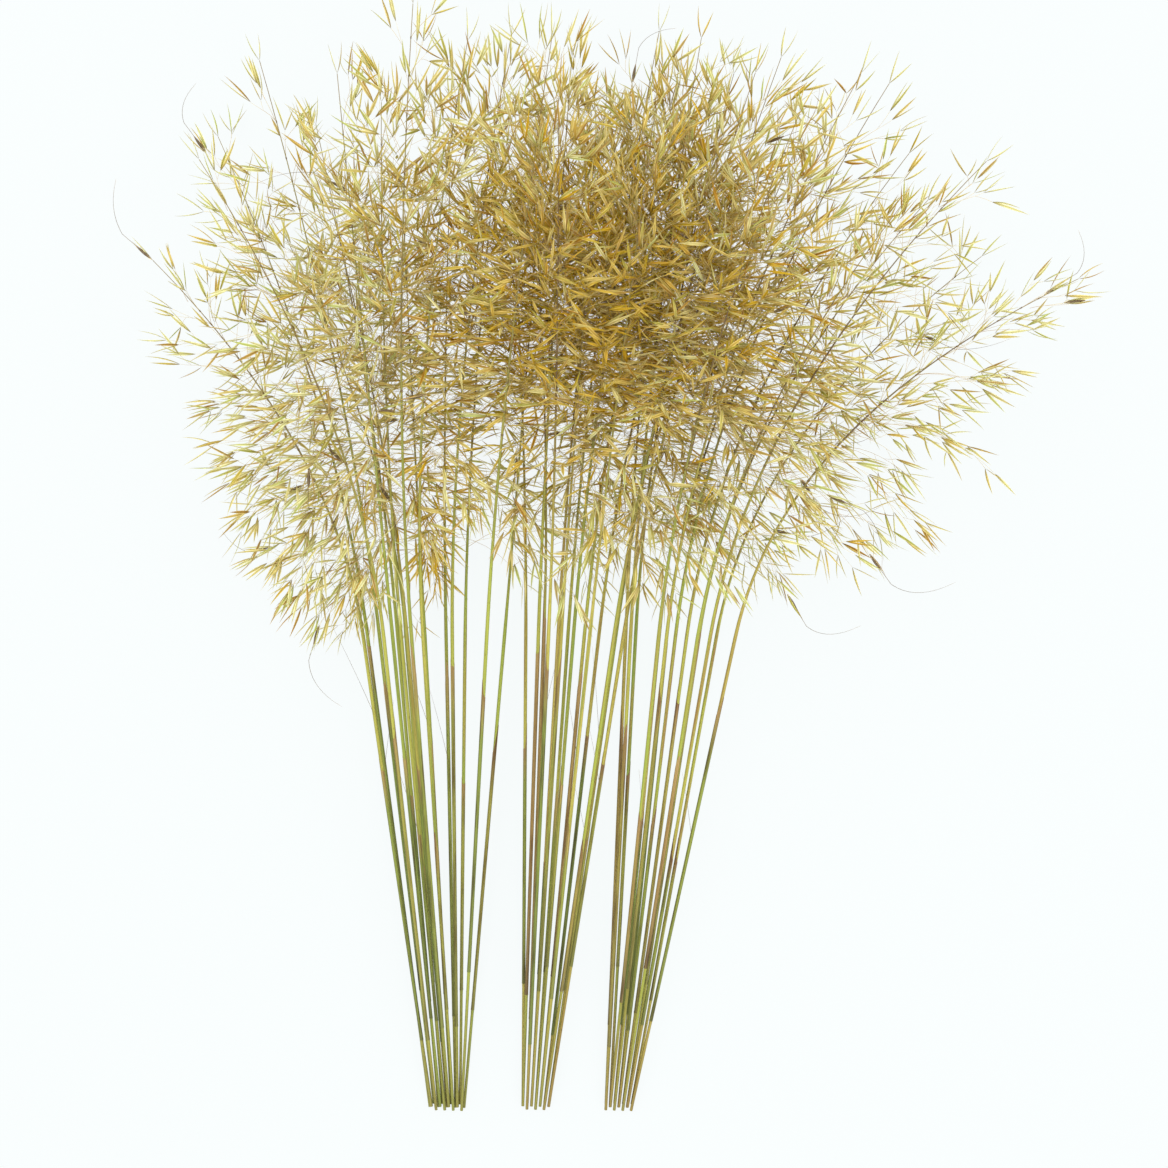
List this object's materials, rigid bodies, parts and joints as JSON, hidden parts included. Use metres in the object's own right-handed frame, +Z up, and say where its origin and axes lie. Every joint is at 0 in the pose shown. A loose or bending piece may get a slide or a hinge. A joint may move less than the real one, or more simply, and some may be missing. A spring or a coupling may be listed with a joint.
{
  "type": "dried giant feather grass bundle",
  "caption": "Dried bundle of long, straight giant feather grass stems with wide, open golden heads of paired glumes, lying flat.",
  "frame": {"origin": "bottom centre of the bounding box, on the surface that the bundle lies on", "axes": "+Y along the stems from the cut ends to the heads, +X across the bundle, +Z up from the surface"},
  "size_m": [0.95, 1.1094, 0.2968],
  "materials": {
    "dried_grass": "matte dry straw, golden glumes on olive green to tan culms"
  },
  "bodies": {
    "root": {"stem_left_01": "dried_grass", "stem_left_02": "dried_grass", "stem_left_03": "dried_grass", "stem_left_04": "dried_grass", "stem_left_05": "dried_grass", "stem_left_06": "dried_grass", "stem_left_07": "dried_grass", "stem_left_08": "dried_grass", "stem_left_09": "dried_grass", "stem_left_10": "dried_grass", "stem_left_11": "dried_grass", "stem_left_12": "dried_grass", "stem_left_13": "dried_grass", "stem_left_14": "dried_grass", "stem_left_15": "dried_grass", "stem_left_16": "dried_grass", "stem_left_17": "dried_grass", "stem_middle_01": "dried_grass", "stem_middle_02": "dried_grass", "stem_middle_03": "dried_grass", "stem_middle_04": "dried_grass", "stem_middle_05": "dried_grass", "stem_middle_06": "dried_grass", "stem_middle_07": "dried_grass", "stem_middle_08": "dried_grass", "stem_middle_09": "dried_grass", "stem_middle_10": "dried_grass", "stem_middle_11": "dried_grass", "stem_middle_12": "dried_grass", "stem_middle_13": "dried_grass", "stem_middle_14": "dried_grass", "stem_right_01": "dried_grass", "stem_right_02": "dried_grass", "stem_right_03": "dried_grass", "stem_right_04": "dried_grass", "stem_right_05": "dried_grass", "stem_right_06": "dried_grass", "stem_right_07": "dried_grass", "stem_right_08": "dried_grass", "stem_right_09": "dried_grass", "stem_right_10": "dried_grass", "stem_right_11": "dried_grass", "stem_right_12": "dried_grass", "stem_right_13": "dried_grass", "stem_right_14": "dried_grass"}
  },
  "joints": []
}
